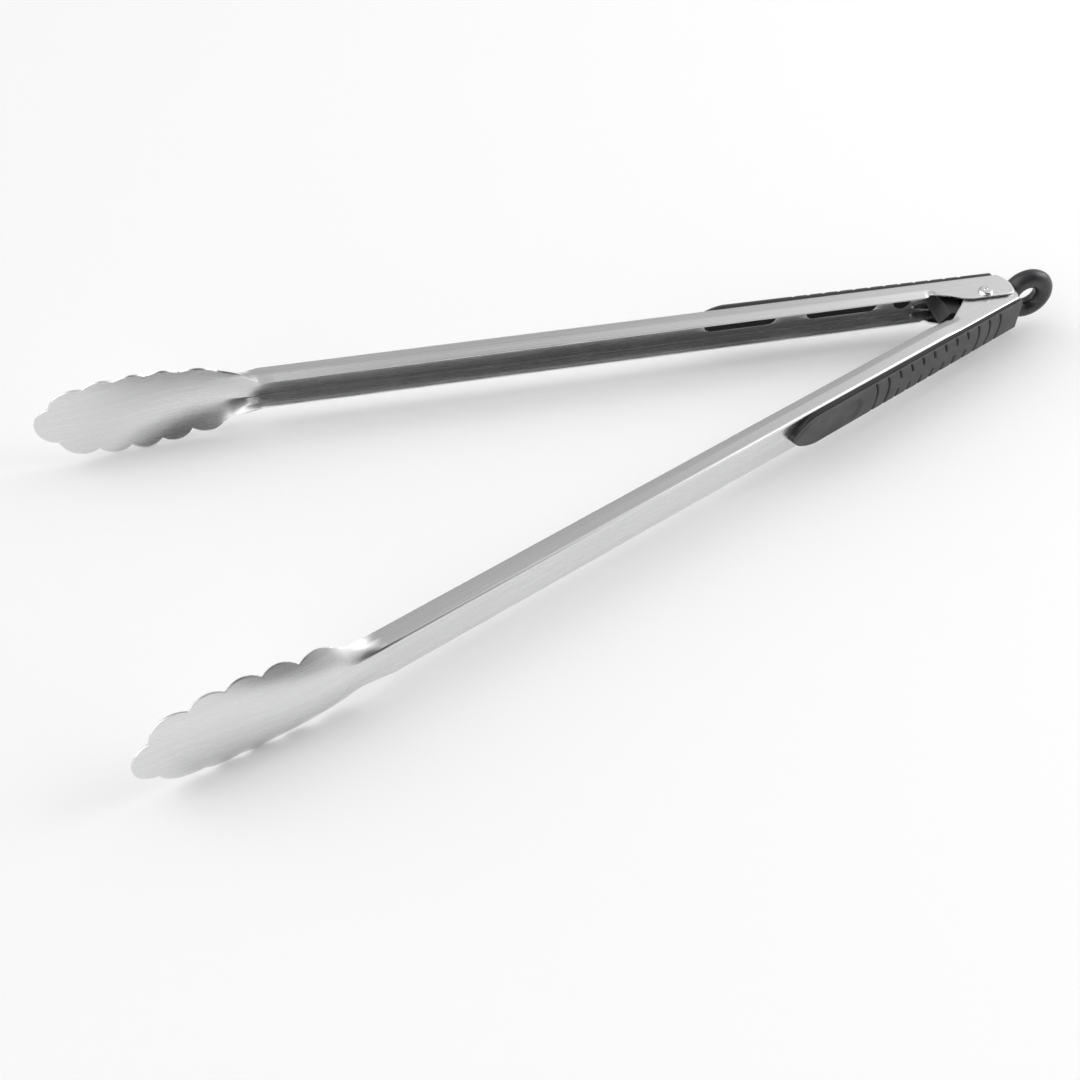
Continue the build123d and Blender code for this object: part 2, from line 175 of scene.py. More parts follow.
# ---- shader values ----
class Value:
    """One shader value of a tree. Arithmetic on it adds Math nodes."""

    def __init__(self, tree, socket):
        self.tree = tree
        self.socket = socket

    def node(self, kind, settings=None, values=None, out=0):
        return add_node(self.tree, kind, settings, values, out)

    def math(self, operation, *values):
        return self.node("ShaderNodeMath", {"operation": operation}, dict(enumerate(values)))

    def __add__(self, other):
        return self.math("ADD", self, other)

    def __radd__(self, other):
        return self.math("ADD", other, self)

    def __sub__(self, other):
        return self.math("SUBTRACT", self, other)

    def __rsub__(self, other):
        return self.math("SUBTRACT", other, self)

    def __mul__(self, other):
        return self.math("MULTIPLY", self, other)

    def __rmul__(self, other):
        return self.math("MULTIPLY", other, self)

    def ramp(self, low, high):
        """0 below low, 1 above high, smooth between."""
        return self.node("ShaderNodeMapRange", {"interpolation_type": "SMOOTHSTEP"},
                         {"Value": self, "From Min": low, "From Max": high})

    def scaled(self, vector):
        return self.node("ShaderNodeVectorMath", {"operation": "MULTIPLY"}, {0: self, 1: vector})

    def noise(self, vector, detail=2.0):
        return self.node("ShaderNodeTexNoise", {"noise_dimensions": "3D"},
                         {"Vector": self.scaled(vector), "Scale": 1.0, "Detail": detail})

    def between(self, first, second):
        """Colour mixed from first to second by this value."""
        return self.node("ShaderNodeMix", {"data_type": "RGBA"}, {0: self, 6: first, 7: second}, out=2)


def add_node(tree, kind, settings=None, values=None, out=0):
    """Adds a node: its settings first, then its sockets' values or links. Gives the output out."""
    made = tree.nodes.new(kind)
    for name, setting in (settings or {}).items():
        setattr(made, name, setting)
    for key, value in (values or {}).items():
        socket = made.inputs[key]
        if isinstance(value, Value):
            tree.links.new(value.socket, socket)
        else:
            socket.default_value = (*value, 1.0) if socket.type == "RGBA" and len(value) == 3 else value
    return Value(tree, made.outputs[out]) if len(made.outputs) else made


def finish_material(name, colour, roughness, bump=None, sheet=False, **fixed):
    """A Principled material. colour, roughness and bump take a place and give what varies there.

    The place is on the flat sheet if sheet is true, and in the object's space if not.
    """
    material = bpy.data.materials.new(name)
    material.use_nodes = True
    tree = material.node_tree
    tree.nodes.clear()
    if sheet:
        place = add_node(tree, "ShaderNodeUVMap", {"uv_map": "sheet"})
    else:
        place = add_node(tree, "ShaderNodeTexCoord", out=OBJECT)
    values = {"Base Color": colour(place), "Roughness": roughness(place)}
    if bump:
        height, depth = bump(place)
        raised = {"Strength": 1.0, "Distance": depth, "Height": height}
        values["Normal"] = add_node(tree, "ShaderNodeBump", None, raised)
    values.update(fixed)
    shader = add_node(tree, "ShaderNodeBsdfPrincipled", None, values)
    add_node(tree, "ShaderNodeOutputMaterial", None, {"Surface": shader})
    return material


def brushed_steel(name, light, dark, rough):
    """Sheet brushed along the arm: long fine streaks, with softer broad ones and faint smudges."""
    fine_streak, broad_streak, smudge = (18, 2600, 1), (7, 420, 1), (30, 55, 1)
    fine_depth = 0.0000012

    def streaks(place):
        return place.noise(fine_streak, 3.0) * 0.55 + place.noise(broad_streak, 2.0) * 0.45

    def colour(place):
        return streaks(place).ramp(0.36, 0.66).between(dark, light)

    def roughness(place):
        return rough + (streaks(place) - 0.5) * 0.14 + (place.noise(smudge) - 0.5) * 0.05

    def bump(place):
        return place.noise(fine_streak, 2.0), fine_depth

    return finish_material(name, colour, roughness, bump, True, Metallic=1.0)


def bright_steel(name, colour_value, rough):
    """Drawn or formed steel: faint mottling, with fine marks across its axis."""
    mottle, marks = (900, 900, 900), (500, 500, 1500)
    duller = [c * 0.86 for c in colour_value]

    def colour(place):
        return place.noise(mottle).ramp(0.3, 0.7).between(duller, colour_value)

    def roughness(place):
        return rough + (place.noise(marks) - 0.5) * 0.2

    return finish_material(name, colour, roughness, None, Metallic=1.0)


def moulded(name, colour_value, rough, grain, depth, lift=1.35, shaded_grooves=False):
    """Moulded material: a fine even grain, faint patches in its tone, and painted shade that darkens its
    grooves.
    """
    patch, rough_patch = (140, 140, 140), (420, 420, 420)
    paler = [c * lift for c in colour_value]
    # Painted shade: the colour in the grooves, darker to stand in for the shade that falls in them.
    painted_groove_shade = [c * 0.3 for c in colour_value]

    def colour(place):
        even = place.noise(patch).ramp(0.3, 0.75).between(colour_value, paler)
        if not shaded_grooves:
            return even
        # Painted shade: where the groove attribute is high, the colour darkens towards the painted groove
        # shade.
        sunk = place.node("ShaderNodeAttribute", {"attribute_name": "groove"}, out=2)
        return sunk.ramp(0.25, 0.95).between(even, painted_groove_shade)

    def roughness(place):
        return rough + (place.noise(rough_patch) - 0.5) * 0.16

    def bump(place):
        return place.noise((grain, grain, grain), 3.0), depth

    return finish_material(name, colour, roughness, bump)


# ---- mesh helpers ----
def smooth(t):
    """0 up to t = 0, 1 from t = 1, smooth between."""
    t = min(max(t, 0.0), 1.0)
    return t * t * (3 - 2 * t)


def lerp(p, q, t):
    return p + (q - p) * t


def spread(low, high, count):
    """count even steps from low, without high."""
    return [lerp(low, high, i / count) for i in range(count)]


def interpolate(points, a):
    """Value at a on a line of (a, value) points in rising a."""
    for (a0, v0), (a1, v1) in zip(points, points[1:]):
        if a <= a1:
            return lerp(v0, v1, max(a - a0, 0.0) / (a1 - a0))
    return points[-1][1]


def new_object(name, mesh):
    made = bpy.data.objects.new(name, mesh)
    bpy.context.scene.collection.objects.link(made)
    return made


def mesh_of(name, points, faces):
    mesh = bpy.data.meshes.new(name)
    mesh.from_pydata(points, [], faces)
    mesh.validate()
    return mesh


def map_sheet(mesh, unfolded):
    """Keeps each point's place on the flat sheet, in metres, for the brushing to follow."""
    layer = mesh.uv_layers.new(name="sheet")
    for loop in mesh.loops:
        layer.data[loop.index].uv = unfolded[loop.vertex_index]


def face_outward(mesh, merge=None):
    """Turns every face outward, after merging points that are closer than merge."""
    shape = bmesh.new()
    shape.from_mesh(mesh)
    if merge:
        bmesh.ops.remove_doubles(shape, verts=shape.verts, dist=merge)
    bmesh.ops.recalc_face_normals(shape, faces=shape.faces)
    shape.to_mesh(mesh)
    shape.free()


def bake_modifiers(piece):
    """Gives the piece its mesh as its modifiers leave it."""
    graph = bpy.context.evaluated_depsgraph_get()
    baked = bpy.data.meshes.new_from_object(piece.evaluated_get(graph))
    piece.modifiers.clear()
    piece.data = baked


def placed(piece, side, crease_angle=radians(32)):
    """Moves a piece out of arm space, keeps its outside outside and shades it smooth up to an angle."""
    matrix = SIDES[side]
    piece.data.transform(matrix)
    if matrix.determinant() < 0:
        piece.data.flip_normals()
    soften(piece, crease_angle)


def soften(piece, crease_angle=radians(32)):
    piece.data.shade_smooth()
    piece.data.set_sharp_from_angle(angle=crease_angle)


def dress(piece, material, slot, body, *nodes):
    """Gives a piece its material and body, and hides the CAD nodes that it stands for. slot is not used."""
    piece.data.materials.clear()
    piece.data.materials.append(material)
    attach(piece, body)
    if nodes:
        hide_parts(*nodes)


def redress(node, material):
    """A new material on a CAD node whose shape is right."""
    shown = frame["nodes"][node]
    shown.data.materials.clear()
    shown.data.materials.append(material)


def plate(name, outline, low, high):
    """Closed solid on an outline of (a, z) points, between two heights b of arm space."""
    count = len(outline)
    ends = [(a, level, z) for level in (low, high) for a, z in outline]
    faces = [list(range(count)), list(range(2 * count - 1, count - 1, -1))]
    faces += [(i, count + i, count + (i + 1) % count, (i + 1) % count) for i in range(count)]
    made = new_object(name, mesh_of(name, ends, faces))
    face_outward(made.data)
    return made


def stadium(a_near, a_far, half, steps=12):
    """Outline of a long slot in a and z."""
    points = []
    for centre, start in ((a_far - half, -pi / 2), (a_near + half, pi / 2)):
        turns = [start + pi * i / steps for i in range(steps + 1)]
        points += [(centre + half * cos(turn), half * sin(turn)) for turn in turns]
    return points


def revolve(name, profile, turns=64):
    """Closed solid turned round z from (radius, height) points; ends on the axis have radius 0."""
    rings = []
    points = []
    around = [2 * pi * i / turns for i in range(turns)]
    for radius, height in profile:
        if radius < TINY:
            rings.append([len(points)] * turns)
            points.append((0, 0, height))
        else:
            rings.append(range(len(points), len(points) + turns))
            points += [(radius * cos(turn), radius * sin(turn), height) for turn in around]
    faces = []
    for near, far in zip(rings, rings[1:]):
        for i in range(turns):
            face = [near[i], near[(i + 1) % turns], far[(i + 1) % turns], far[i]]
            faces.append(list(dict.fromkeys(face)))
    return new_object(name, mesh_of(name, points, faces))


# ---- arms ----
# Valleys between the head's lobes, from the tip back: place a and half width. Then the lobes' radii.
VALLEYS = ((0.3750, 0.0082), (0.3613, 0.0146), (0.3493, 0.0160), (0.3375, 0.0158), (0.3257, 0.0144),
           (0.3130, 0.0132))
LOBE_RADII = (0.0099, 0.0093, 0.0093, 0.0093, 0.0116)
# Free edge of an ear: place a and height b.
EAR_EDGE = ((0.0070, -0.0033), (0.0095, -0.0027), (0.0120, -0.0016), (0.0145, -0.0004), (0.0180, 0.0011),
            (0.0207, 0.0023), (0.0226, 0.0031), (0.0250, 0.0020))
# Rear of an ear: height b and how far back it goes.
EAR_HEEL = ((-0.0033, -0.0086), (-0.0030, -0.0104), (-0.0024, -0.0114), (-0.0012, -0.0122), (0.0008, -0.0125),
            (0.0028, -0.0126), (0.0050, -0.0123), (0.0074, -0.0112), (0.0090, -0.0100), (0.0106, -0.0084))
# First row in front of the heel, and where the free edge dips and meets the lip.
EAR_BACK, EDGE_DIP, LIP_START = 0.007, 0.0207, 0.0256
# The set-in ears widen to the full channel between these.
JOGGLE_START, JOGGLE_END = 0.0238, 0.038
STUD_A, STUD_R = 0.0308, 0.0040
# Holes in the back wall that hold the grip: near end, far end and half width.
HOLES = ((0.042, 0.073, 0.0033), (0.086, 0.117, 0.0033), (STUD_A - STUD_R, STUD_A + STUD_R, STUD_R))
CUT_OVER = 0.002
EDGE_ROUND = 0.00012
# Steps of the sheet's grid: across each part of the fold, over the heel and along each lobe.
FOLD_STEPS, HEEL_STEPS, LOBE_STEPS = 8, 24, 20


def lobe_centre(p, q, radius):
    """Centre, on the head's side, of the arc that bulges out between two valleys."""
    (a0, z0), (a1, z1) = p, q
    chord = sqrt((a1 - a0) ** 2 + (z1 - z0) ** 2)
    drop = sqrt(radius ** 2 - chord ** 2 / 4)
    return (a0 + a1) / 2 + drop * (z0 - z1) / chord, (z0 + z1) / 2 - drop * (a0 - a1) / chord


def head_half(a, s):
    """Half width of the scalloped head at a."""
    if a >= VALLEYS[0][0]:
        depth = s.reach - VALLEYS[0][0]
        radius = (VALLEYS[0][1] ** 2 + depth ** 2) / (2 * depth)
        return sqrt(max(radius ** 2 - (a - s.reach + radius) ** 2, 0.0))
    for far, near, radius in zip(VALLEYS, VALLEYS[1:], LOBE_RADII):
        if a >= near[0]:
            a_mid, z_mid = lobe_centre(far, near, radius)
            return z_mid + sqrt(max(radius ** 2 - (a - a_mid) ** 2, 0.0))
    return 1.0


def fold_parts(s):
    """Lengths of sheet in half the channel: back wall, corner, side wall and lip."""
    return s.width / 2 - s.bend, s.bend * pi / 2, s.back - s.bend - s.crease, s.crease - s.lip


def section_stops(s):
    """Places across the sheet from its middle to its free edge, as parts of the folded length."""
    flat, arc, wall, lip = fold_parts(s)
    whole = flat + arc + wall + lip
    marks = (0, flat, flat + arc, flat + arc + wall, whole)
    stops = []
    for low, high in zip(marks, marks[1:]):
        stops += spread(low / whole, high / whole, FOLD_STEPS)
    return stops + [1.0]


def folded_point(s, q, half, edge, lean):
    """Channel section: (b, z) at part q of the folded length, for a wall that ends at edge."""
    flat, arc, wall, lip = fold_parts(s)
    run = q * (flat + arc + wall + lip)
    if run <= flat:
        return s.back, run / flat * (half - s.bend)
    if run <= flat + arc:
        turn = (run - flat) / s.bend
        return s.back - s.bend * (1 - cos(turn)), half - s.bend + s.bend * sin(turn)
    run -= flat + arc
    if run <= wall:
        return s.back - s.bend - run, half
    part = (run - wall) / lip
    return lerp(s.crease, edge, part), half - lean * part


def arm_point(s, a, q, ear_half):
    """Outside of the arm's sheet at a and part q across it, as (b, z)."""
    lean_start, lean_run = 0.0205, 0.0035
    dish_half, dish_growth, dish_start, dish_run = 0.012, 0.008, 0.309, 0.015
    neck_curve, head_curve, curve_fall, curve_start = 30.0, 8.5, 420.0, 0.310
    past_tip = 0.003
    if a <= s.head_start:
        half = lerp(ear_half, s.width / 2, smooth((a - JOGGLE_START) / (JOGGLE_END - JOGGLE_START)))
        edge = interpolate(EAR_EDGE, a) if a < EAR_EDGE[-1][0] else s.lip
        lean = s.lip_turn * smooth((a - lean_start) / lean_run)
        return folded_point(s, q, half, edge, lean)
    opened = min((a - s.head_start) / (s.neck_end - s.head_start), 1.0)
    opened = opened * (2 - opened)
    reach = dish_half + dish_growth * smooth((a - dish_start) / dish_run)
    curve = min(max(neck_curve - curve_fall * (a - curve_start), head_curve), neck_curve)
    turned_in = smooth((a - s.bend_start) / (s.reach + past_tip - s.bend_start))
    back = s.back - (s.back - s.tip) * turned_in
    if a > VALLEYS[-1][0]:
        q *= min(head_half(a, s) / reach, 1.0)
    b, z = folded_point(s, q, s.width / 2, s.lip, s.lip_turn)
    z_dish = reach * q
    b_dish = back - curve * z_dish ** 2
    return lerp(b - s.back + back, b_dish, opened), lerp(z, z_dish, opened)


def arm_rows(s):
    """Places a of the grid's rows, closest where the outline turns most."""
    tip_steps, short_of_tip = 24, 0.000004
    rows = spread(EAR_BACK, EDGE_DIP, 24) + spread(EDGE_DIP, LIP_START, 14)
    rows += spread(LIP_START, JOGGLE_END, 16) + spread(JOGGLE_END, s.head_start, 40)
    rows += spread(s.head_start, VALLEYS[-1][0], 24)
    for near, far in zip(VALLEYS[::-1], VALLEYS[-2::-1]):
        rows += [lerp(near[0], far[0], (1 - cos(pi * i / LOBE_STEPS)) / 2) for i in range(LOBE_STEPS)]
    rows += [lerp(VALLEYS[0][0], s.reach, sin(pi / 2 * i / tip_steps)) for i in range(tip_steps)]
    return rows + [s.reach - short_of_tip]


def unfold(row):
    """Places of a row's points on the flat sheet: a, and the length of sheet across to each."""
    middle = 0.5
    steps = [sqrt((b1 - b0) ** 2 + (abs(z1) - abs(z0)) ** 2)
             for (_, b0, z0), (_, b1, z1) in zip(row, row[1:])]
    run = -sum(steps) / 2
    places = []
    for (a, _, _), step in zip(row, steps + [0.0]):
        places.append((a, middle + run))
        run += step
    return places


def arm_sheet(s, ear_half):
    """The whole stamped sheet as one grid of its outside: ears, channel, neck and head."""
    stops = section_stops(s)
    across = [-q for q in stops[:0:-1]] + stops
    heel = [arm_point(s, EAR_BACK, abs(q), ear_half) for q in across]
    grid = []
    for i in range(HEEL_STEPS):
        part = 1 - (1 - i / HEEL_STEPS) ** 1.5
        grid.append([(lerp(interpolate(EAR_HEEL, b), EAR_BACK, part), b, z) for b, z in heel])
    for a in arm_rows(s):
        grid.append([(a, *arm_point(s, a, abs(q), ear_half)) for q in across])
    points = [(a, b, z if q >= 0 else -z) for row in grid for q, (a, b, z) in zip(across, row)]
    width = len(across)
    faces = [(k, k + 1, k + width + 1, k + width)
             for i in range(len(grid) - 1) for k in range(i * width, i * width + width - 1)]
    return points, faces, [place for row in grid for place in unfold(row)]


def build_arm(side, ear_half, material):
    """One arm: the sheet thickened inward, its holes cut and its edges eased."""
    s = sizes("tongs_arm")
    name = side + "_arm_sheet"
    points, faces, unfolded = arm_sheet(s, ear_half)
    arm = new_object(name, mesh_of(name, points, faces))
    map_sheet(arm.data, unfolded)
    thicken = arm.modifiers.new("sheet", "SOLIDIFY")
    thicken.thickness = s.sheet
    thicken.offset = -1
    thicken.use_quality_normals = True
    bake_modifiers(arm)
    cutters = [plate("hole", stadium(*hole), s.back - CUT_OVER, s.back + CUT_OVER) for hole in HOLES]
    for cutter in cutters:
        cut = arm.modifiers.new("cut", "BOOLEAN")
        cut.operation, cut.solver, cut.object = "DIFFERENCE", "EXACT", cutter
    bake_modifiers(arm)
    for cutter in cutters:
        bpy.data.objects.remove(cutter)
    bevel = arm.modifiers.new("edges", "BEVEL")
    bevel.width = EDGE_ROUND
    bevel.segments = 2
    bevel.limit_method = "ANGLE"
    bevel.angle_limit = radians(50)
    bevel.use_clamp_overlap = True
    bake_modifiers(arm)
    placed(arm, side)
    dress(arm, material, "arm_steel", side, side + "_arm")


class TONGS_OT_arms(bpy.types.Operator):
    """Build the two stamped arms"""
    bl_idname = "tongs.arms"
    bl_label = "Arms"

    def execute(self, context):
        s, f = sizes("tongs_arm"), sizes("tongs_finish")
        set_in = s.width / 2 - s.sheet - s.ear_gap
        steel = brushed_steel("brushed_sheet", f.steel, f.steel_shade, f.steel_rough)
        for side, ear_half in (("outer", s.width / 2), ("inner", set_in)):
            build_arm(side, ear_half, steel)
        return {"FINISHED"}


# ---- grips ----
# The nose's outline is x ** NOSE_LONG + y ** NOSE_WIDE = 1, and NOSE_ROOT is one over NOSE_WIDE.
NOSE_LONG, NOSE_WIDE, NOSE_ROOT = 1.5, 1.667, 0.6
REAR_CORNER = 0.0012
# Clearance round the studs, and how far the pad lies in from the carrier's outline.
GRIP_GAP = 0.0001


def grip_half(g, a, inset):
    """Half width of the grip's plan at a."""
    half = g.width / 2 - inset
    nose = g.front - g.nose
    if a > nose:
        return half * max(1 - ((a - nose) / (g.nose - inset)) ** NOSE_LONG, 0.0) ** NOSE_ROOT
    behind = a - g.rear - inset
    if behind < REAR_CORNER:
        return half - REAR_CORNER + sqrt(max(REAR_CORNER ** 2 - (REAR_CORNER - behind) ** 2, 0.0))
    return half


def edge_distance(g, a, z, inset):
    """How far a point of the grip's plan is from its outline."""
    half = g.width / 2 - inset
    nose = g.front - g.nose
    distance = min(half - abs(z), a - g.rear - inset)
    if a > nose:
        x, y = (a - nose) / (g.nose - inset), abs(z) / half
        slope_x = NOSE_LONG * sqrt(x) / (g.nose - inset)
        slope_y = y ** (NOSE_WIDE - 1) / NOSE_ROOT / half
        slope = sqrt(slope_x ** 2 + slope_y ** 2)
        distance = min(distance, (1 - x ** NOSE_LONG - y ** NOSE_WIDE) / max(slope, 1e-4))
    return max(distance, 0.0)


def pad_relief(g, a, z):
    """Depth of the grooves, and of the grooves and the thumb scoop, at a point of the pad."""
    first, last, bow_in, groove_reach = 0.0785, 0.0060, 0.0018, 0.004
    unbroken = (0, 1, g.grooves - 3, g.grooves - 2, g.grooves - 1)
    band_ease, edge_part, edge_run, flat_part = 0.0006, 0.35, 0.0010, 0.55
    depth = 0.0
    for i in range(g.grooves):
        centre = lerp(first, last, i / (g.grooves - 1)) + g.groove_bow - bow_in
        if abs(centre - g.groove_bow - a) > groove_reach:
            continue
        off = abs(sqrt((a - centre) ** 2 + z * z) - g.groove_bow) / (g.groove_width / 2)
        held = 1.0 if i in unbroken else smooth((abs(z) - g.plain_half) / band_ease)
        fade = lerp(edge_part, 1.0, smooth(edge_distance(g, a, z, GRIP_GAP) / edge_run))
        across = 1 - smooth((off - flat_part) / (1 - flat_part))
        depth = max(depth, g.groove_depth * held * fade * across)
    scoop_end, scoop_length, scoop_radius, scoop_side = 0.0845, 0.030, 0.0058, 0.0022
    out = max(scoop_end + scoop_radius - a, 0.0)
    inside = scoop_radius - sqrt(out * out + z * z)
    slope = 1 - smooth((a - scoop_end - scoop_radius) / scoop_length)
    return depth, max(depth, g.scoop_depth * slope * smooth(inside / scoop_side))


def grip_rows(g, inset, step):
    """Places a of a grip's rows: rear corner, straight stretch and nose."""
    corner_steps, nose_steps, short_of_front = 6, 40, 0.000003
    nose = g.front - g.nose
    rows = [g.rear + inset + REAR_CORNER * (1 - cos(pi / 2 * i / corner_steps)) for i in range(corner_steps)]
    rows += spread(g.rear + inset + REAR_CORNER, nose, int((nose - g.rear - REAR_CORNER) / step))
    rows += [nose + (g.nose - inset) * sin(pi / 2 * i / nose_steps) for i in range(nose_steps)]
    return rows + [g.front - inset - short_of_front]


def grip_columns(columns):
    """Places across a grip from -1 to 1, a little closer together near its sides."""
    evenness = 0.7
    return [lerp(-cos(pi * j / columns), -1 + 2 * j / columns, evenness) for j in range(columns + 1)]


def grip_body(name, g, inset, bottom, top, rounding, relief, step, columns):
    """Grid over the grip's plan, rounded down at its outline, with sides and an underside.

    bottom and top are each a height b at the rear and one at the front.
    """
    rows = grip_rows(g, inset, step)
    across = grip_columns(columns)
    points, groove_shade_weights = [], []
    width = columns + 1
    for a in rows:
        half = grip_half(g, a, inset)
        rise = (a - g.rear) / (g.front - g.rear)
        for t in across:
            z = t * half
            near = min(edge_distance(g, a, z, inset) / rounding, 1.0)
            drop = rounding * (1 - sqrt(max(1 - (1 - near) ** 2, 0.0)))
            groove, sunk = relief(g, a, z) if relief else (0.0, 0.0)
            points.append((a, lerp(*top, rise) - drop - sunk, z))
            groove_shade_weights.append(groove / g.groove_depth)
    faces = [(k, k + 1, k + width + 1, k + width)
             for i in range(len(rows) - 1) for k in range(i * width, i * width + columns)]
    last = (len(rows) - 1) * width
    border = list(range(0, width)) + [i * width + columns for i in range(1, len(rows))]
    border += list(range(last + columns - 1, last - 1, -1))
    border += [i * width for i in range(len(rows) - 2, 0, -1)]
    low = len(points)
    for k in border:
        a, b, z = points[k]
        points.append((a, lerp(*bottom, (a - g.rear) / (g.front - g.rear)), z))
    count = len(border)
    for i in range(count):
        faces.append((border[i], low + i, low + (i + 1) % count, border[(i + 1) % count]))
    faces.append([low + i for i in range(count - 1, -1, -1)])
    mesh = mesh_of(name, points, faces)
    # The groove attribute is how deep each point lies in a groove, and drives the painted shade in the pad's
    # grooves.
    mesh.attributes.new("groove", "FLOAT", "POINT").data.foreach_set("value", groove_shade_weights + [0.0] * count)
    face_outward(mesh)
    return new_object(name, mesh)


def join_into(piece, others):
    """Adds other meshes to a piece as loose parts of it."""
    shape = bmesh.new()
    for part in [piece, *others]:
        shape.from_mesh(part.data)
    shape.to_mesh(piece.data)
    shape.free()
    for part in others:
        bpy.data.objects.remove(part)


class TONGS_OT_grips(bpy.types.Operator):
    """Build the hard carriers and the soft pads of both grips"""
    bl_idname = "tongs.grips"
    bl_label = "Grips"

    def execute(self, context):
        g, s, f = sizes("tongs_grip"), sizes("tongs_arm"), sizes("tongs_finish")
        nylon = moulded("carrier_nylon", f.carrier, 0.34, 2600, 0.000010)
        # The pad's rubber gets painted shade in its grooves.
        rubber = moulded("pad_rubber", f.pad, 0.62, 3800, 0.000022, shaded_grooves=True)
        carrier_edge, carrier_step, carrier_columns = 0.0002, 0.004, 12
        pad_step, pad_columns = 0.00022, 60
        on_back, on_carrier = (s.back, s.back), (g.carrier_rear, g.carrier_front)
        for side in SIDES:
            carrier = grip_body(side + "_grip_base", g, 0.0, on_back, on_carrier,
                                carrier_edge, None, carrier_step, carrier_columns)
            studs = [stadium(near + GRIP_GAP, far - GRIP_GAP, half - GRIP_GAP) for near, far, half in HOLES]
            join_into(carrier, [plate("stud", outline, s.back - s.sheet, s.back) for outline in studs])
            placed(carrier, side)
            dress(carrier, nylon, "carrier_nylon", side, side + "_grip_carrier")
            pad = grip_body(side + "_grip_top", g, GRIP_GAP, on_carrier, (g.pad_rear, g.pad_front),
                            g.rounding, pad_relief, pad_step, pad_columns)
            placed(pad, side, radians(50))
            dress(pad, rubber, "pad_rubber", side, side + "_grip_pad")
        return {"FINISHED"}


# ---- pivot, spring, slide and ring ----
def rivet_profile(p, half):
    """From the lower dimple round to the upper one, as (radius, height)."""
    flange, sink, dimple_depth, arc_steps = 0.0002, 0.00002, 0.0006, 6
    rim = p.rivet_head * 0.32
    top = half + p.rivet_height
    low = half + flange
    dimple_r = 0.62 * p.dimple
    head = [(p.rivet_shank, half - flange), (p.rivet_head, half), (p.rivet_head, low)]
    head += [(p.rivet_head - rim * (1 - cos(t)), low + (top - low) * sin(t))
             for t in spread(0.15, pi / 2, arc_steps)]
    head += [(lerp(p.rivet_head - rim, dimple_r, t), top - sink * t) for t in (0.0, 0.5, 1.0)]
    head += [(dimple_r * cos(t), top - dimple_depth * sin(t)) for t in spread(0.2, pi / 2, arc_steps)]
    head.append((0.0, top - dimple_depth))
    return [(r, -z) for r, z in reversed(head)] + head


class TONGS_OT_rivet(bpy.types.Operator):
    """Build the rivet with its formed heads and finish the sleeve round it"""
    bl_idname = "tongs.rivet"
    bl_label = "Rivet"

    def execute(self, context):
        p, s, f = sizes("tongs_pivot"), sizes("tongs_arm"), sizes("tongs_finish")
        rivet = revolve("hinge_rivet", rivet_profile(p, s.width / 2), 72)
        rivet.data.transform(Matrix.Translation(PIVOT))
        soften(rivet, radians(50))
        dress(rivet, bright_steel("rivet_steel", f.rivet, 0.2), "rivet_steel", "outer", "pivot_rivet")
        redress("pivot_bush", bright_steel("sleeve_steel", f.wire, 0.32))
        return {"FINISHED"}


def spring_line(p, leg_end):
    """Middle line of the spring's wire from the pivot, leg to leg. Each leg leaves the coil straight."""
    turns, turn_steps, leg_steps = 6, 36, 3
    leg = sqrt(leg_end.length ** 2 - p.coil ** 2)
    lean = atan2(leg_end.y, leg_end.x) + atan2(p.coil, leg)
    start = lean - pi / 2
    whole = 2 * pi * turns + 2 * start
    steps = turn_steps * turns
    line = []
    for i in range(steps + 1):
        t = i / steps
        turn = start - whole * t
        line.append(Vector((p.coil * cos(turn), p.coil * sin(turn), lerp(-p.coil_half, p.coil_half, t))))
    ends = []
    for side in (1, -1):
        root = line[0] if side > 0 else line[-1]
        along = Vector((cos(lean), side * sin(lean), 0)) * leg
        ends.append([root + along * t / leg_steps for t in range(1, leg_steps + 1)])
    return ends[0][::-1] + line + ends[1]


class TONGS_OT_spring(bpy.types.Operator):
    """Build the torsion spring round the sleeve"""
    bl_idname = "tongs.spring"
    bl_label = "Spring"

    def execute(self, context):
        p, s, f = sizes("tongs_pivot"), sizes("tongs_arm"), sizes("tongs_finish")
        off_wall = 0.0001
        leg_a, leg_b = 0.025, s.back - s.sheet - p.wire / 2 - off_wall
        end = SIDES["outer"] @ Vector((leg_a, leg_b, 0)) - PIVOT
        line = spring_line(p, end)
        curve = bpy.data.curves.new("spring_wire", "CURVE")
        curve.dimensions = "3D"
        curve.bevel_depth = p.wire / 2
        curve.bevel_resolution = 5
        curve.use_fill_caps = True
        run = curve.splines.new("POLY")
        run.points.add(len(line) - 1)
        for point, place in zip(run.points, line):
            point.co = (*(PIVOT + place), 1)
        wire = new_object("spring_wire", curve)
        graph = bpy.context.evaluated_depsgraph_get()
        mesh = bpy.data.meshes.new_from_object(wire.evaluated_get(graph))
        bpy.data.objects.remove(wire)
        spring = new_object("coil_spring", mesh)
        soften(spring, radians(60))
        dress(spring, bright_steel("wire_steel", f.wire, 0.28), "spring_steel", "outer", "torsion_spring")
        return {"FINISHED"}


class TONGS_OT_slide(bpy.types.Operator):
    """Finish the moulded lock slide"""
    bl_idname = "tongs.slide"
    bl_label = "Lock slide"

    def execute(self, context):
        redress("lock_slide", moulded("slide_nylon", sizes("tongs_finish").slide, 0.4, 2200, 0.00001))
        return {"FINISHED"}


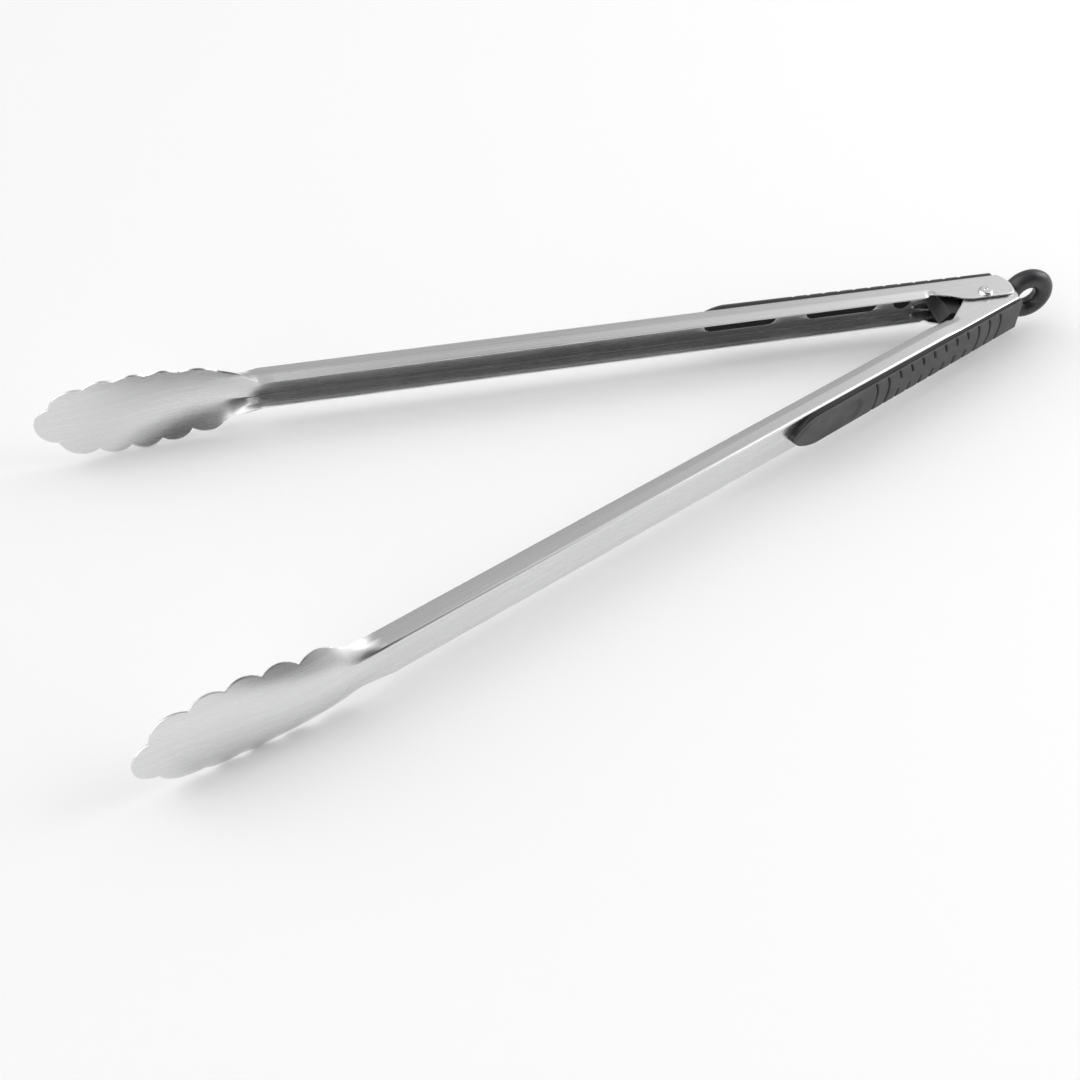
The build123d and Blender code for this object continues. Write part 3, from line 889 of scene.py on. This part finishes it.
class TONGS_OT_ring(bpy.types.Operator):
    """Build the soft pull ring with its straight-sided eye and its faint moulding seam"""
    bl_idname = "tongs.ring"
    bl_label = "Pull ring"

    def execute(self, context):
        p = sizes("tongs_pivot")
        steps, seam, seam_half = 56, 0.00004, 0.00025
        start = pi / 2 + asin(min((p.ring - p.eye) / p.tube, 1.0))
        section = []
        for i in range(steps + 1):
            turn = lerp(start, -start, i / steps)
            section.append((p.ring + p.tube * cos(turn), p.tube * sin(turn)))
        profile = [(r + seam * max(1 - abs(h) / seam_half, 0.0) if r > p.ring else r, h) for r, h in section]
        eye_wall = [(p.eye, lerp(profile[-1][1], profile[0][1], t)) for t in (0.33, 0.67)]
        ring = revolve("soft_pull_ring", profile + eye_wall + profile[:1], 128)
        face_outward(ring.data, TINY)
        ring.data.transform(Matrix.Translation((p.ring_a, p.ring_b, 0)) @ Matrix.Rotation(-pi / 2, 4, "X"))
        placed(ring, "outer", radians(40))
        rubber = moulded("ring_rubber", sizes("tongs_finish").ring, 0.3, 1800, 0.000015)
        dress(ring, rubber, "ring_rubber", "lock", "pull_ring")
        return {"FINISHED"}


# ---- stage ----
def studio_world():
    """Even grey surroundings, bright to the left and right and dark high on the near side."""
    world = bpy.data.worlds.new("studio")
    bpy.context.scene.world = world
    world.use_nodes = True
    tree = world.node_tree
    tree.nodes.clear()
    way = add_node(tree, "ShaderNodeTexCoord", out=GENERATED)

    def towards(direction, low, high):
        """How nearly a way points in a direction: 0 below low, 1 above high."""
        vectors = {0: way, 1: direction}
        return way.node("ShaderNodeVectorMath", {"operation": "DOT_PRODUCT"}, vectors, out=1).ramp(low, high)

    right = towards((0.90, -0.10, 0.42), 0.50, 1.0)
    left = towards((-0.90, 0.0, 0.43), 0.30, 0.90)
    near_side = towards((-0.05, -0.68, 0.73), 0.62, 0.90)
    level = (0.64 + (right + 2.1 * left)) * (1 - 0.86 * near_side)
    background = add_node(tree, "ShaderNodeBackground", None, {"Strength": level})
    add_node(tree, "ShaderNodeOutputWorld", None, {"Surface": background})


def softbox(name, place, target, size, power):
    """A rectangular area light at a place, facing a target."""
    light = bpy.data.lights.new(name, "AREA")
    light.shape = "RECTANGLE"
    light.size, light.size_y = size
    light.energy = power
    made = new_object(name, light)
    made.location = place
    made.rotation_mode = "QUATERNION"
    made.rotation_quaternion = (Vector(target) - Vector(place)).to_track_quat("-Z", "Y")


class TONGS_OT_stage(bpy.types.Operator):
    """Set the floor, the lights and the camera"""
    bl_idname = "tongs.stage"
    bl_label = "Stage"

    def execute(self, context):
        t = sizes("tongs_stage")
        half = t.floor / 2
        corners = [(-half, -half, 0), (half, -half, 0), (half, half, 0), (-half, half, 0)]
        floor = new_object("floor", mesh_of("floor", corners, [(0, 1, 2, 3)]))
        colour = sizes("tongs_finish").floor
        floor.data.materials.append(moulded("floor_paper", colour, 0.75, 60, 0.00002, 1.0))
        studio_world()
        softbox("side_fill", (1.9, -0.2, 1.1), (0.1, 0, 0), (1.2, 1.2), 14)
        camera = new_object("camera", bpy.data.cameras.new("camera"))
        camera.data.lens = t.lens
        camera.data.sensor_width = 36.0
        camera.data.clip_start, camera.data.clip_end = 0.01, 50.0
        level = cos(t.elevation)
        back = Vector((sin(t.azimuth) * level, -cos(t.azimuth) * level, sin(t.elevation)))
        camera.location = PIVOT + Vector(t.eye)
        camera.rotation_mode = "QUATERNION"
        camera.rotation_quaternion = (-back).to_track_quat("-Z", "Y") @ Quaternion((0, 0, 1), t.roll)
        bpy.context.scene.camera = camera
        bpy.context.scene.view_settings.view_transform = "Standard"
        return {"FINISHED"}


class TONGS_PT_panel(bpy.types.Panel):
    """Sizes, colours and the steps that build the tongs"""
    bl_idname = "TONGS_PT_panel"
    bl_label = "Kitchen tongs"
    bl_space_type = "VIEW_3D"
    bl_region_type = "UI"
    bl_category = "Tongs"

    def draw(self, context):
        for name, group in GROUPS:
            box = self.layout.box()
            for prop in group.__annotations__:
                box.prop(getattr(context.scene, name), prop)
        for operator in OPERATORS:
            self.layout.operator(operator.bl_idname)


OPERATORS = (TONGS_OT_arms, TONGS_OT_grips, TONGS_OT_rivet, TONGS_OT_spring, TONGS_OT_slide,
             TONGS_OT_ring, TONGS_OT_stage)
CLASSES = tuple(group for _, group in GROUPS) + OPERATORS + (TONGS_PT_panel,)


def register():
    for item in CLASSES:
        bpy.utils.register_class(item)
    for name, group in GROUPS:
        setattr(bpy.types.Scene, name, PointerProperty(type=group))


def unregister():
    for name, _ in GROUPS:
        delattr(bpy.types.Scene, name)
    for item in reversed(CLASSES):
        bpy.utils.unregister_class(item)


def main():
    register()
    bpy.ops.tongs.arms()
    bpy.ops.tongs.grips()
    bpy.ops.tongs.rivet()
    bpy.ops.tongs.spring()
    bpy.ops.tongs.slide()
    bpy.ops.tongs.ring()
    bpy.ops.tongs.stage()


if __name__ == "__main__":
    main()
